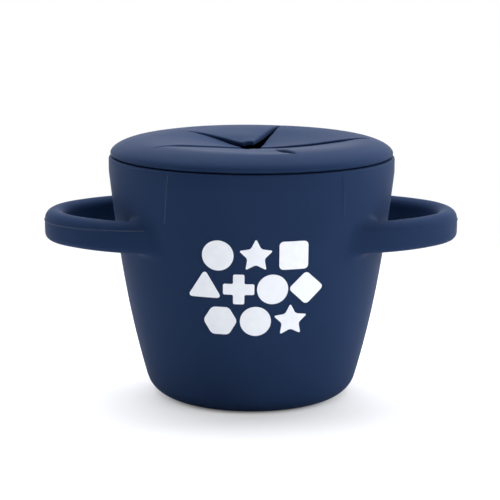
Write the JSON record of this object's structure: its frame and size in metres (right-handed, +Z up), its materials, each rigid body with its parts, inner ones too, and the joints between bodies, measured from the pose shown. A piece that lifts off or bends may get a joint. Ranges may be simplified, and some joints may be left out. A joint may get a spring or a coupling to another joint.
{
  "type": "toddler snack container",
  "caption": "Soft tapered cup with a loop handle on each side and a plug-in domed lid whose star-cut flaps let a small hand in and keep dry snacks from spilling.",
  "frame": {"origin": "centre of the base, on the surface that the cup stands on", "axes": "+Z up along the cup's axis, +X along the handles to the right, front towards -Y"},
  "size_m": [0.133, 0.0914, 0.083],
  "materials": {
    "cup_silicone": "matt silicone, navy",
    "lid_silicone": "matt silicone, navy"
  },
  "bodies": {
    "cup": {"cup": "cup_silicone", "left_handle": "cup_silicone", "right_handle": "cup_silicone"},
    "lid": {"lid": "lid_silicone"},
    "flap_1": {"flap_1": "lid_silicone"},
    "flap_2": {"flap_2": "lid_silicone"},
    "flap_3": {"flap_3": "lid_silicone"},
    "flap_4": {"flap_4": "lid_silicone"},
    "flap_5": {"flap_5": "lid_silicone"}
  },
  "joints": [
    {"name": "lid_lift", "type": "slide", "parent": "cup", "child": "lid", "axis": [0, 0, 1], "range_m": [0, 0.06]},
    {"name": "flap_1_hinge", "type": "hinge", "parent": "lid", "child": "flap_1", "pos_m": [0.02374, 0.01756, 0.08181], "axis": [0.5948, -0.8039, 0], "range_deg": [-40, 72], "stiffness_Nm_per_rad": 0.02},
    {"name": "flap_2_hinge", "type": "hinge", "parent": "lid", "child": "flap_2", "pos_m": [-0.00937, 0.028, 0.08181], "axis": [0.9483, 0.3173, 0], "range_deg": [-40, 72], "stiffness_Nm_per_rad": 0.02},
    {"name": "flap_3_hinge", "type": "hinge", "parent": "lid", "child": "flap_3", "pos_m": [-0.02953, -0.00026, 0.08181], "axis": [-0.0087, 1, 0], "range_deg": [-40, 72], "stiffness_Nm_per_rad": 0.02},
    {"name": "flap_4_hinge", "type": "hinge", "parent": "lid", "child": "flap_4", "pos_m": [-0.00888, -0.02816, 0.08181], "axis": [-0.9537, 0.3007, 0], "range_deg": [-40, 72], "stiffness_Nm_per_rad": 0.02},
    {"name": "flap_5_hinge", "type": "hinge", "parent": "lid", "child": "flap_5", "pos_m": [0.02404, -0.01715, 0.08181], "axis": [-0.5807, -0.8141, 0], "range_deg": [-40, 72], "stiffness_Nm_per_rad": 0.02}
  ]
}
